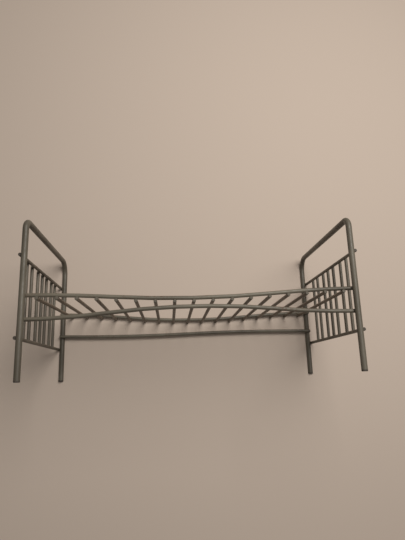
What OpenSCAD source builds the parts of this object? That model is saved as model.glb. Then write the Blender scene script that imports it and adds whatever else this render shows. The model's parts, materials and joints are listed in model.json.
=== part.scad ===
// A doll's bed of welded wire: two tall end hoops, four side rails, two end
// panels of spindles and a deck of cross slats. It stands on its four leg ends.
// Axes: X runs along the bed, Y from the front side to the back side, Z is up.
// The origin is on the floor, in the middle of the bed. Lengths in millimetres.

/* [Frame] */
// Distance between the two hoops, axis to axis
hoop_spacing = 346; // [340:1:380]
// Distance between the front and back legs of a hoop, axis to axis
leg_spacing = 184; // [178:1:210]
// Height of a hoop over everything
hoop_height = 168.5; // [155:0.5:240]
// Bend radius at the top front corners, on the rod's axis
front_bend_radius = 9.5; // [8:0.5:25]
// Bend radius at the top back corners, on the rod's axis
back_bend_radius = 18; // [8:0.5:30]

/* [Wire stock] */
// Diameter of the rod in the end hoops
post_d = 6.5; // [5.5:0.1:8]
// Diameter of the wire in the side rails
rail_d = 4.3; // [3.8:0.1:5]
// Diameter of the wire in the end panels and the slats
wire_d = 3.7; // [3.2:0.1:4.2]
// Depth to which two crossing wires sink into each other at a weld
weld_bite = 0.6; // [0.2:0.05:0.8]
// Width of the broken edge on every cut end
end_chamfer = 0.5; // [0.2:0.05:0.8]

/* [Side rails] */
// Length by which a side rail runs past the axis of each leg
rail_overrun = 2.8; // [2.6:0.1:3.2]
// Height of the front upper rail's axis at its left end
front_upper_left_z = 86.2; // [84:0.1:92]
// Height of the front upper rail's axis at its right end
front_upper_right_z = 87.5; // [84:0.1:92]
// Amount by which the front upper rail sags in the middle
front_upper_sag = 6.5; // [4:0.1:8]
// Height of the front lower rail's axis at its left end
front_lower_left_z = 61.4; // [58:0.1:62]
// Height of the front lower rail's axis at its right end
front_lower_right_z = 63; // [58:0.1:64]
// Amount by which the front lower rail bows upwards in the middle
front_lower_rise = 9.4; // [4:0.1:10]
// Height of the back upper rail's axis at its left end
back_upper_left_z = 90.3; // [84:0.1:92]
// Height of the back upper rail's axis at its right end
back_upper_right_z = 85.6; // [82:0.1:92]
// Amount by which the back upper rail sags in the middle
back_upper_sag = 8.5; // [4:0.1:10]
// Height of the back lower rail's axis at its left end
back_lower_left_z = 60.2; // [56:0.1:62]
// Height of the back lower rail's axis at its right end
back_lower_right_z = 59.6; // [56:0.1:62]
// Amount by which the back lower rail waves, down on the left and up on the right
back_lower_wave = 1.4; // [0.5:0.1:3]

/* [End panels] */
// Height of the upper cross wire's axis
upper_cross_z = 128.4; // [110:0.1:135]
// Height of the lower cross wire's axis
lower_cross_z = 43; // [30:0.1:50]
// Length by which a cross wire runs past the axis of each leg
cross_overrun = 0.4; // [0.2:0.1:3]
// Distance between neighbouring spindles in a group
spindle_pitch = 18.8; // [14:0.1:20]
// Distance between neighbouring spindles of two groups
spindle_gap = 24.3; // [20:0.1:28]
// Amount by which the panel's middle spindle sits towards the back side
panel_shift = 5.9; // [0:0.1:8]
// Length by which a spindle runs past the axis of each cross wire
spindle_overrun = 0.8; // [0.8:0.1:3]

/* [Slats] */
// Distance between neighbouring slats
slat_pitch = 20; // [12:0.1:20]
// Amount by which the middle slat sits to the right of the bed's middle
slat_shift = 0.7; // [0:0.1:2]
// Length by which a slat runs past the axis of the front upper rail
slat_front_overrun = 3.3; // [2.5:0.1:5]
// Length by which a slat runs past the axis of the back upper rail
slat_back_overrun = 4.8; // [2.5:0.1:6]

/* [Hidden] */
SLAT_COUNT = 17;
SPINDLE_COUNT = 7;
SIDES = ["left", "right"];

function side_sign(side) = side == "left" ? -1 : 1;
function spindle_name(side, i) = str(side, "_spindle_", i);
function slat_name(i) = str("slat_", i < 10 ? "0" : "", i);

POST_COLOR = "#67655b";
RAIL_COLOR = "#605d54";
PANEL_COLOR = "#6a685e";
SLAT_COLOR = "#473d35";

// Small rounds are fine enough to look smooth, and long arcs get a step about this long.
$fn = 32;
ARC_STEP = 4;
// A seat is cut with a short copy of the neighbouring wire, this long to each side.
SEAT_REACH = 4;
// Two arcs of opposite bend are joined by a straight link of this length, a hair thicker than the wire.
LINK_LENGTH = 2;
LINK_SKIN = 0.02;

hoop_x = hoop_spacing / 2;
leg_y = leg_spacing / 2;
hoop_axis_z = hoop_height - post_d / 2;
rail_length = hoop_spacing + 2 * rail_overrun;

// Crossing wires lie side by side, sunk into each other by the weld's bite.
function lap(d_one, d_other) = (d_one + d_other) / 2 - weld_bite;
cross_x = hoop_x + lap(post_d, wire_d);
spindle_x = cross_x + lap(wire_d, wire_d);
rail_y = leg_y - lap(post_d, rail_d);
slat_drop = lap(rail_d, wire_d);

// A bow is four tangent quarter-span arcs of one radius: level at both ends and in the middle.
function bow_radius(span, rise) = (pow(span / 4, 2) + pow(rise / 2, 2)) / rise;
function bow_height(x, span, rise) =
    let (r = bow_radius(span, rise), from_end = span / 2 - abs(x))
    abs(x) > span / 4
        ? r - sqrt(r * r - from_end * from_end)
        : rise - r + sqrt(r * r - x * x);
// Angle at which the bow climbs there, measured from +X towards +Z
function bow_angle(x, span, rise) =
    -sign(x) * asin(min(abs(x), span / 2 - abs(x)) / bow_radius(span, rise));
function tilt(left_z, right_z) = atan2(right_z - left_z, hoop_spacing);
// Height of a sagging upper rail's axis above the floor at a place along the bed
function upper_rail_height(x, left_z, right_z, sag) =
    (left_z + right_z) / 2 + x * tan(tilt(left_z, right_z)) - bow_height(x, rail_length, sag);

function upper_rail_angle(x, left_z, right_z, sag) =
    tilt(left_z, right_z) - bow_angle(x, rail_length, sag);

function slat_x(i) = slat_shift + (i - (SLAT_COUNT + 1) / 2) * slat_pitch;

// Places of the spindles across the bed: two, three and two, with a wider gap between the groups.
function spindle_y(i) =
    let (k = i - (SPINDLE_COUNT + 1) / 2)
    panel_shift + k * spindle_pitch
    + (abs(k) > 1 ? sign(k) * (spindle_gap - spindle_pitch) : 0);

// Straight wire along +Z from the origin, with the edges of both cut ends broken.
module cut_wire(length, d) {
    cylinder(h = end_chamfer, d1 = d - 2 * end_chamfer, d2 = d);
    translate([0, 0, end_chamfer]) cylinder(h = length - 2 * end_chamfer, d = d);
    translate([0, 0, length - end_chamfer])
        cylinder(h = end_chamfer, d1 = d, d2 = d - 2 * end_chamfer);
}

// Tapered tip that breaks the edge of a bent wire's cut end, pointing along +Z.
module wire_tip(d) {
    cylinder(h = end_chamfer, d1 = d, d2 = d - 2 * end_chamfer);
}

// Arc of round wire in the XZ plane; angles are measured from +X towards +Z.
module arc_wire(center, radius, start, sweep, d) {
    translate([center[0], 0, center[1]])
        rotate([90, 0, 0])
            rotate([0, 0, start])
                rotate_extrude(angle = sweep, $fn = ceil(2 * PI * radius / ARC_STEP))
                    translate([radius, 0]) circle(d = d, $fn = 32);
}

// Straight link between two arcs, at a place where the bend changes direction.
module arc_link(x, z, climb, d) {
    translate([x, 0, z])
        rotate([0, 90 - climb, 0])
            cylinder(h = LINK_LENGTH, d = d + LINK_SKIN, center = true);
}

// Angle by which an arc stops short of a link's middle, so that it ends inside the link.
function short_of_link(radius) = LINK_LENGTH / 4 / radius * 180 / PI;

// Wire along X whose axis rises in the middle and is level at its ends.
module bowed_wire(length, rise, d) {
    span = length - 2 * end_chamfer;
    r = bow_radius(span, rise);
    climb = asin(span / 4 / r);
    sweep = climb - short_of_link(r);
    arc_wire([0, rise - r], r, 90 - sweep, 2 * sweep, d);
    for (side = [0, 1])
        mirror([side, 0, 0]) {
            translate([-span / 2, 0, 0]) rotate([0, -90, 0]) wire_tip(d);
            arc_wire([-span / 2, r], r, -90, sweep, d);
            arc_link(-span / 4, rise / 2, climb, d);
        }
}

// Wire along X that dips on the left half and rises by as much on the right half.
module waved_wire(length, wave, d) {
    chord = length / 2 - end_chamfer;
    r = (pow(chord / 2, 2) + wave * wave) / (2 * wave);
    climb = asin(chord / 2 / r);
    arc_link(0, 0, climb, d);
    for (turn = [0, 180])
        rotate([0, turn, 0])
            translate([-chord, 0, 0])
                rotate([0, climb, 0]) {
                    rotate([0, -90, 0]) wire_tip(d);
                    arc_wire([0, r], r, -90, 2 * climb - short_of_link(r), d);
                }
}

module tilted(left_z, right_z) {
    translate([0, 0, (left_z + right_z) / 2]) rotate([0, -tilt(left_z, right_z), 0]) children();
}

// The four legs as plain rods, used to cut the seats of the wires that lap them.
module leg_rods() {
    for (x = [-hoop_x, hoop_x], y = [-leg_y, leg_y])
        translate([x, y, 0]) cylinder(h = hoop_axis_z - back_bend_radius, d = post_d);
}

// One bent rod: two legs, two top corners of different radius and the top bar.
module end_hoop(side) {
    color(POST_COLOR)
        translate([side_sign(side) * hoop_x, 0, 0]) {
            hoop_leg(-leg_y, front_bend_radius);
            hoop_leg(leg_y, back_bend_radius);
            hoop_corner(-leg_y + front_bend_radius, front_bend_radius, 90);
            hoop_corner(leg_y - back_bend_radius, back_bend_radius, 0);
            translate([0, -leg_y + front_bend_radius, hoop_axis_z])
                rotate([-90, 0, 0])
                    cylinder(h = leg_spacing - front_bend_radius - back_bend_radius, d = post_d);
        }
}

module hoop_leg(y, bend_radius) {
    translate([0, y, 0]) {
        cylinder(h = end_chamfer, d1 = post_d - 2 * end_chamfer, d2 = post_d);
        translate([0, 0, end_chamfer])
            cylinder(h = hoop_axis_z - bend_radius - end_chamfer, d = post_d);
    }
}

// Quarter bend in the YZ plane; start is measured from +Y towards +Z.
module hoop_corner(y, bend_radius, start) {
    translate([0, y, hoop_axis_z - bend_radius])
        rotate([0, 0, 90]) arc_wire([0, 0], bend_radius, start, 90, post_d, $fn = 64);
}

// Wire across a hoop's outer face, seated on both legs.
module cross_wire(side, z) {
    length = leg_spacing + 2 * cross_overrun;
    color(PANEL_COLOR)
        difference() {
            translate([side_sign(side) * cross_x, -length / 2, z])
                rotate([-90, 0, 0]) cut_wire(length, wire_d);
            leg_rods();
        }
}

// Upright wire on the outer faces of both cross wires.
module spindle(side, i) {
    color(PANEL_COLOR)
        difference() {
            translate([side_sign(side) * spindle_x, spindle_y(i), lower_cross_z - spindle_overrun])
                cut_wire(upper_cross_z - lower_cross_z + 2 * spindle_overrun, wire_d);
            for (z = [lower_cross_z, upper_cross_z])
                translate([side_sign(side) * cross_x, spindle_y(i), z])
                    rotate([90, 0, 0]) cylinder(h = 2 * SEAT_REACH, d = wire_d, center = true);
        }
}

// A sagging rail on the inner faces of two legs, front (-1) or back (1).
module upper_rail(y_sign, left_z, right_z, sag) {
    color(RAIL_COLOR) difference() {
        translate([0, y_sign * rail_y, 0])
            tilted(left_z, right_z) mirror([0, 0, 1]) bowed_wire(rail_length, sag, rail_d);
        leg_rods();
    }
}

module front_upper_rail() {
    upper_rail(-1, front_upper_left_z, front_upper_right_z, front_upper_sag);
}

module back_upper_rail() {
    upper_rail(1, back_upper_left_z, back_upper_right_z, back_upper_sag);
}

module front_lower_rail() {
    color(RAIL_COLOR) difference() {
        translate([0, -rail_y, 0])
            tilted(front_lower_left_z, front_lower_right_z)
                bowed_wire(rail_length, front_lower_rise, rail_d);
        leg_rods();
    }
}

module back_lower_rail() {
    color(RAIL_COLOR) difference() {
        translate([0, rail_y, 0])
            tilted(back_lower_left_z, back_lower_right_z)
                waved_wire(rail_length, back_lower_wave, rail_d);
        leg_rods();
    }
}

// Short straight copy of a rail where a slat crosses it.
module rail_seat(x, y, z, climb) {
    translate([x, y, z])
        rotate([0, 90 - climb, 0]) cylinder(h = 2 * SEAT_REACH, d = rail_d, center = true);
}

// Straight wire under both upper rails, seated on each where it crosses.
module slat(i) {
    x = slat_x(i);
    front_z = upper_rail_height(x, front_upper_left_z, front_upper_right_z, front_upper_sag);
    back_z = upper_rail_height(x, back_upper_left_z, back_upper_right_z, back_upper_sag);
    front_climb = upper_rail_angle(x, front_upper_left_z, front_upper_right_z, front_upper_sag);
    back_climb = upper_rail_angle(x, back_upper_left_z, back_upper_right_z, back_upper_sag);
    color(SLAT_COLOR) difference() {
        translate([x, 0, (front_z + back_z) / 2 - slat_drop])
            rotate([atan2(back_z - front_z, 2 * rail_y), 0, 0])
                translate([0, -rail_y - slat_front_overrun, 0])
                    rotate([-90, 0, 0])
                        cut_wire(2 * rail_y + slat_front_overrun + slat_back_overrun, wire_d);
        rail_seat(x, -rail_y, front_z, front_climb);
        rail_seat(x, rail_y, back_z, back_climb);
    }
}

for (side = SIDES) {
    end_hoop(side);
    cross_wire(side, upper_cross_z);
    cross_wire(side, lower_cross_z);
    for (i = [1:SPINDLE_COUNT])
        spindle(side, i);
}
front_upper_rail();
front_lower_rail();
back_upper_rail();
back_lower_rail();
for (i = [1:SLAT_COUNT])
    slat(i);
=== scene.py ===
"""Looks, weld beads, light and camera for a doll's bed of welded wire.

Everything is in metres, in the bed's own frame: X along the bed, Y from the front side to the
back side, Z up. The bed is seen lying on its back side, so the cloth it lies on is a plane at
the back legs, and the camera looks along +Y from about the height of the feet. A floor under
the feet serves the views from above.
"""

import json
import math

import bmesh
import bpy
from mathutils import Euler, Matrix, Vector, noise
from mathutils.bvhtree import BVHTree


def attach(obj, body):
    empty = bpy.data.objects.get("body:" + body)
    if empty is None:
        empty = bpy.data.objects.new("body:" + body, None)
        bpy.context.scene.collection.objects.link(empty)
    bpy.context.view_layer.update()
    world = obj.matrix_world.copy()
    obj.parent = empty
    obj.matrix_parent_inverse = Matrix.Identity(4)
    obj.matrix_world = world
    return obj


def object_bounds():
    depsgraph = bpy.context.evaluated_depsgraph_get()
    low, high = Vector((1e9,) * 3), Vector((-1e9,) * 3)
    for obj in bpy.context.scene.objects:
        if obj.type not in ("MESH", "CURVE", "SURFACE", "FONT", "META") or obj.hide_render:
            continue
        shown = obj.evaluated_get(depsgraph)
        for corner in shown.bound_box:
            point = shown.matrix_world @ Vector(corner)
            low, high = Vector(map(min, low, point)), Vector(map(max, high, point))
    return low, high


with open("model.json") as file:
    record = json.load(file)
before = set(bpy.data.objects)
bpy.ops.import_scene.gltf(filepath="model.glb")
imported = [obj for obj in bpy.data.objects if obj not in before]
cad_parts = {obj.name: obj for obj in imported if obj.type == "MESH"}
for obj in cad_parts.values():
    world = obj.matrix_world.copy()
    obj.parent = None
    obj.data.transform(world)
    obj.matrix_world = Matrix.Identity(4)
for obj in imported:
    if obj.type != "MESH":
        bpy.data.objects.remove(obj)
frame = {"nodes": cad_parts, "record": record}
NODES = frame["nodes"]
CAD_LOW, CAD_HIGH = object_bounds()
MM = 0.001


# ---------------------------------------------------------------- camera

CAMERA_PLACE = Vector((-0.02557, -0.55390, -0.00160))
CAMERA_TURN = Euler((math.radians(103.42), math.radians(1.83), math.radians(-4.00)))
LENS = 30.26
SENSOR = 36.0


def make_camera():
    data = bpy.data.cameras.new("camera")
    data.lens = LENS
    data.sensor_width = SENSOR
    data.sensor_fit = "AUTO"
    data.clip_start = 0.01
    camera = bpy.data.objects.new("camera", data)
    camera.location = CAMERA_PLACE
    camera.rotation_euler = CAMERA_TURN
    bpy.context.scene.collection.objects.link(camera)
    bpy.context.scene.camera = camera


# ---------------------------------------------------------------- materials

RUST = (0.09, 0.045, 0.025)
# Bare metal at the cut ends. At the feet the same dark colour also stands in for painted shade
# under the feet.
BARE_AND_FOOT_SHADE = (0.062, 0.051, 0.041)
SLAT_BARE = (0.115, 0.099, 0.077)
# Where the darker ends begin: a height at the feet, where the dark band is worn bare metal and
# painted shade under the feet, and distances from the bed's middle elsewhere, where it is worn
# bare metal.
FOOT_WEAR_AND_SHADE = 2.0 * MM
RAIL_WEAR = 175.2 * MM
PANEL_WEAR = 91.9 * MM
SLAT_WEAR = 88.5 * MM
# Heights above and below everything. A hoop has no cut end at its top.
ABOVE_ALL = 10.0
BELOW_ALL = -1.0
# Half the width of the ragged limit between the enamel and a darker end.
RAGGED = 0.35 * MM
# How fine each noise is, in lumps per metre.
CLOUDS = 38.0
PATCHES = 75.0
LUMPS = 160.0
SHEEN = 240.0
SPECKS = 420.0
RAGS = 600.0
PEEL = 900.0


def new_material(name):
    material = bpy.data.materials.new(name)
    material.use_nodes = True
    tree = material.node_tree
    shader = tree.nodes["Principled BSDF"]
    return material, tree, shader


def add_node(tree, kind, inputs=None, **settings):
    made = tree.nodes.new(kind)
    for key, value in settings.items():
        setattr(made, key, value)
    for key, value in (inputs or {}).items():
        if isinstance(value, bpy.types.NodeSocket):
            tree.links.new(value, made.inputs[key])
        else:
            made.inputs[key].default_value = value
    return made


def object_place(tree, stretch=(1.0, 1.0, 1.0)):
    """The point's place on the object, squeezed along an axis so that noise runs along it."""
    place = add_node(tree, "ShaderNodeTexCoord").outputs["Object"]
    return add_node(tree, "ShaderNodeMapping", {"Vector": place, "Scale": stretch}).outputs[0]


def noise_of(tree, place, scale, detail=3.0, roughness=0.55, distortion=0.0):
    made = add_node(
        tree,
        "ShaderNodeTexNoise",
        {"Vector": place, "Scale": scale, "Detail": detail, "Roughness": roughness,
         "Distortion": distortion},
    )
    return made.outputs["Fac"]


def ramp(tree, value, low, high, bottom=0.0, top=1.0):
    """Turns a value from low to high into one from bottom to top, smoothly and clamped."""
    made = add_node(
        tree,
        "ShaderNodeMapRange",
        {"Value": value, "From Min": low, "From Max": high, "To Min": bottom, "To Max": top},
        interpolation_type="SMOOTHSTEP",
    )
    return made.outputs["Result"]


def mix_color(tree, factor, low, high):
    made = add_node(tree, "ShaderNodeMix", data_type="RGBA")
    for socket, value in ((made.inputs[0], factor), (made.inputs[6], low), (made.inputs[7], high)):
        if isinstance(value, bpy.types.NodeSocket):
            tree.links.new(value, socket)
        else:
            socket.default_value = value
    return made.outputs[2]


def math_of(tree, operation, one, other):
    return add_node(tree, "ShaderNodeMath", {0: one, 1: other}, operation=operation).outputs[0]


def rgba(red, green, blue):
    return (red, green, blue, 1.0)


def end_mask(tree, place, axis, low, high):
    """One past low or high along an axis and nought between them, with a ragged limit."""
    parts = add_node(tree, "ShaderNodeSeparateXYZ", {"Vector": place})
    ragged = ramp(tree, noise_of(tree, place, RAGS), 0.3, 0.7, -RAGGED, RAGGED)
    reach = math_of(tree, "ADD", parts.outputs[axis], ragged)
    past_high = ramp(tree, reach, high - RAGGED, high + RAGGED)
    past_low = ramp(tree, reach, low - RAGGED, low + RAGGED, 1.0, 0.0)
    return math_of(tree, "MAXIMUM", past_low, past_high)


def enamel(name, light, dark, chip_share, stretch, end, end_color):
    """Old grey enamel on wire: cloudy tone, brown chips, satin sheen, orange peel and darker ends,
    worn bare metal that at the feet is also painted shade.
    stretch squeezes the noise along the wire; end is the axis and the limits of the darker ends."""
    material, tree, shader = new_material(name)
    along = object_place(tree, stretch)
    even = object_place(tree)
    cloudy = noise_of(tree, along, CLOUDS, detail=4.0)
    tone = mix_color(tree, ramp(tree, cloudy, 0.32, 0.68), rgba(*dark), rgba(*light))
    speck = ramp(tree, noise_of(tree, even, SPECKS, detail=5.0, roughness=0.7), 0.50, 0.62)
    patch = noise_of(tree, along, PATCHES, distortion=0.6)
    chips = math_of(tree, "MULTIPLY", speck, ramp(tree, patch, 0.62 - chip_share, 0.72))
    chipped = mix_color(tree, chips, tone, rgba(*RUST))
    # Darker ends: worn bare metal, and at the feet also painted shade under the feet.
    worn_and_shaded = end_mask(tree, even, *end)
    color = mix_color(tree, worn_and_shaded, chipped, rgba(*end_color))
    tree.links.new(color, shader.inputs["Base Color"])
    satin = ramp(tree, noise_of(tree, even, SHEEN, detail=4.0), 0.3, 0.7, 0.42, 0.58)
    dull = math_of(tree, "MULTIPLY", math_of(tree, "MAXIMUM", chips, worn_and_shaded), 0.2)
    tree.links.new(math_of(tree, "ADD", satin, dull), shader.inputs["Roughness"])
    peel = math_of(tree, "MULTIPLY", noise_of(tree, even, PEEL, detail=2.0), 0.25)
    lumps = math_of(tree, "ADD", noise_of(tree, along, LUMPS), peel)
    height = math_of(tree, "SUBTRACT", lumps, math_of(tree, "MULTIPLY", chips, 0.4))
    bump = add_node(
        tree, "ShaderNodeBump", {"Height": height, "Strength": 0.35, "Distance": 0.3 * MM})
    tree.links.new(bump.outputs["Normal"], shader.inputs["Normal"])
    return material


def make_materials():
    return {
        "hoop_enamel": enamel(
            "hoop_enamel", (0.146, 0.129, 0.099), (0.080, 0.068, 0.050), 0.03,
            (1, 1, 0.4), ("Z", FOOT_WEAR_AND_SHADE, ABOVE_ALL), BARE_AND_FOOT_SHADE),
        "rail_enamel": enamel(
            "rail_enamel", (0.164, 0.145, 0.111), (0.088, 0.075, 0.056), 0.04,
            (0.3, 1, 1), ("X", -RAIL_WEAR, RAIL_WEAR), BARE_AND_FOOT_SHADE),
        "panel_enamel": enamel(
            "panel_enamel", (0.142, 0.123, 0.093), (0.077, 0.063, 0.046), 0.04,
            (1, 1, 0.3), ("Y", -PANEL_WEAR, PANEL_WEAR), BARE_AND_FOOT_SHADE),
        "slat_enamel": enamel(
            "slat_enamel", (0.151, 0.117, 0.083), (0.082, 0.059, 0.038), 0.10,
            (1, 0.3, 1), ("Y", -SLAT_WEAR, SLAT_WEAR), SLAT_BARE),
    }


def dress_nodes(materials):
    for part in frame["record"]["subparts"]:
        shown = NODES[part["node"]]
        shown.data.materials.clear()
        shown.data.materials.append(materials[part["material_slot"]])
        for face in shown.data.polygons:
            face.use_smooth = True


# ---------------------------------------------------------------- weld beads

SLAT_COUNT = 17
SPINDLE_COUNT = 7
# A vertex of a seat lies this close to the thicker wire.
SEAT_TOUCH = 0.05 * MM
# A height between the two cross wires of an end panel.
PANEL_MIDDLE = 85.0 * MM
# Radii of the weld beads along X, Y and Z, in millimetres.
SLAT_BEAD = (2.1, 2.1, 0.9)
CROSS_BEAD = (0.8, 2.0, 2.1)
SPINDLE_BEAD = (0.7, 1.8, 1.2)
RAIL_BEAD = (2.4, 0.9, 2.4)
# How strongly a bead swells and dents, and how coarse its lumps are.
BEAD_SWELL = 0.28
BEAD_LUMPS = 1.7
# Steps through the noise from one bead to the next.
BEAD_STEP = Vector((7.3, 3.1, 0.0))


def mesh_object(name, builder):
    data = bpy.data.meshes.new(name)
    builder.to_mesh(data)
    builder.free()
    made = bpy.data.objects.new(name, data)
    bpy.context.scene.collection.objects.link(made)
    return made


def surface_of(node):
    data = NODES[node].data
    return BVHTree.FromPolygons([v.co for v in data.vertices], [p.vertices for p in data.polygons])


def seat_centres(thin, thick_surface, axis, split):
    """Middles of the places where a wire's seat lies on its thicker neighbour.
    The points are grouped by whether they lie below or above split along an axis."""
    groups = {}
    for vertex in NODES[thin].data.vertices:
        hit = thick_surface.find_nearest(vertex.co)
        if hit[0] is not None and hit[3] < SEAT_TOUCH:
            groups.setdefault(vertex.co[axis] > split, []).append(vertex.co.copy())
    return [sum(points, Vector()) / len(points) for points in groups.values()]


def add_bead(builder, centre, radii, seed):
    """A squashed lump of metal, swelled and dented by noise."""
    lump = bmesh.ops.create_icosphere(builder, subdivisions=3, radius=1.0)["verts"]
    for vertex in lump:
        direction = vertex.co.copy()
        swell = 1.0 + BEAD_SWELL * noise.noise(direction * BEAD_LUMPS + seed * BEAD_STEP)
        vertex.co = centre + Vector([direction[k] * radii[k] * swell for k in range(3)])


def list_welds():
    """Group, thin wire, thick wire, axis and place that part its seats, and the bead's radii."""
    along_y = 1
    along_z = 2
    welds = []
    for number in range(1, SLAT_COUNT + 1):
        for rail in ("front_upper_rail", "back_upper_rail"):
            welds.append(("slat", f"slat_{number:02d}", rail, along_y, 0.0, SLAT_BEAD))
    for side in ("left", "right"):
        hoop = f"{side}_end_hoop"
        for level in ("upper", "lower"):
            cross = f"{side}_{level}_cross_wire"
            welds.append(("end_panel", cross, hoop, along_y, 0.0, CROSS_BEAD))
            for number in range(1, SPINDLE_COUNT + 1):
                spindle = f"{side}_spindle_{number}"
                welds.append(("end_panel", spindle, cross, along_z, PANEL_MIDDLE, SPINDLE_BEAD))
        for rail in ("front_upper", "front_lower", "back_upper", "back_lower"):
            welds.append(("side_rail", f"{rail}_rail", hoop, along_z, BELOW_ALL, RAIL_BEAD))
    return welds


def make_beads(materials):
    builders = {}
    surfaces = {}
    seed = 0
    for group, thin, thick, axis, split, radii in list_welds():
        if thick not in surfaces:
            surfaces[thick] = surface_of(thick)
        if group not in builders:
            builders[group] = bmesh.new()
        for centre in seat_centres(thin, surfaces[thick], axis, split):
            seed += 1
            add_bead(builders[group], centre, [r * MM for r in radii], seed)
    slots = {"slat": "slat_enamel", "end_panel": "panel_enamel", "side_rail": "rail_enamel"}
    for group, builder in builders.items():
        for face in builder.faces:
            face.smooth = True
        beads = mesh_object(f"{group}_weld_beads", builder)
        beads.data.materials.append(materials[slots[group]])
        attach(beads, "root")


# ---------------------------------------------------------------- stage and light

def see_through_from_behind(tree, shader):
    """Leaves a stage plane visible only from its front."""
    behind = add_node(tree, "ShaderNodeNewGeometry").outputs["Backfacing"]
    clear = add_node(tree, "ShaderNodeBsdfTransparent")
    mixed = add_node(tree, "ShaderNodeMixShader")
    tree.links.new(behind, mixed.inputs[0])
    tree.links.new(shader.outputs[0], mixed.inputs[1])
    tree.links.new(clear.outputs[0], mixed.inputs[2])
    tree.links.new(mixed.outputs[0], tree.nodes["Material Output"].inputs["Surface"])


def stage_plane(name, color, corners):
    """A pale sheet that shows from its front only."""
    material, tree, shader = new_material(name)
    shader.inputs["Base Color"].default_value = rgba(*color)
    shader.inputs["Roughness"].default_value = 0.9
    shader.inputs["Specular IOR Level"].default_value = 0.1
    see_through_from_behind(tree, shader)
    builder = bmesh.new()
    builder.faces.new([builder.verts.new(corner) for corner in corners])
    sheet = mesh_object(name, builder)
    sheet.data.materials.append(material)
    return sheet


# The sheets reach this far from the bed's middle.
REACH = 3.0
CORNERS = ((-REACH, -REACH), (REACH, -REACH), (REACH, REACH), (-REACH, REACH))
# The bed's weight presses it this far into the cloth.
SUNK = 2.4 * MM
# The floor stays this far below the feet.
CLEAR = 0.3 * MM


def make_cloth():
    """The pale cloth that the bed lies on, at its back legs. It casts no shadow, so that the
    light behind it reaches the bed's back."""
    back = CAD_HIGH.y - SUNK
    corners = [(x, back, z) for x, z in CORNERS]
    cloth = stage_plane("pale_cloth", (0.60, 0.505, 0.435), corners)
    cloth.visible_shadow = False


def make_floor():
    """A pale floor under the feet. The camera looks from below it, so it shows from above only,
    and it neither shades the bed nor throws light on it."""
    corners = [(x, y, -CLEAR) for x, y in CORNERS]
    floor = stage_plane("pale_floor", (0.60, 0.53, 0.47), corners)
    floor.visible_shadow = False
    floor.visible_diffuse = False
    floor.visible_glossy = False


def add_area_light(name, place, aim, size, power, color):
    data = bpy.data.lights.new(name, "AREA")
    data.shape = "DISK"
    data.size = size
    data.energy = power
    data.color = color
    lamp = bpy.data.objects.new(name, data)
    lamp.location = place
    lamp.rotation_euler = (Vector(aim) - Vector(place)).to_track_quat("-Z", "Y").to_euler()
    bpy.context.scene.collection.objects.link(lamp)
    return lamp


def make_light():
    """A soft key light from the front and above, a softer one behind the bed, and a dim room."""
    add_area_light("key", (0.33, -0.93, 0.50), (0, 0.05, 0.08), 0.7, 9.9, (1.0, 0.96, 0.90))
    fill = add_area_light(
        "rear_fill", (-0.05, 1.05, 0.95), (0, 0, 0.06), 0.9, 10.0, (1.0, 0.97, 0.93))
    fill.visible_glossy = False
    world = bpy.data.worlds.new("room")
    world.use_nodes = True
    room = world.node_tree.nodes["Background"]
    room.inputs["Color"].default_value = rgba(0.95, 0.9, 0.84)
    room.inputs["Strength"].default_value = 0.18
    bpy.context.scene.world = world
    bpy.context.scene.view_settings.view_transform = "Standard"


make_camera()
enamels = make_materials()
dress_nodes(enamels)
make_beads(enamels)
make_cloth()
make_floor()
make_light()
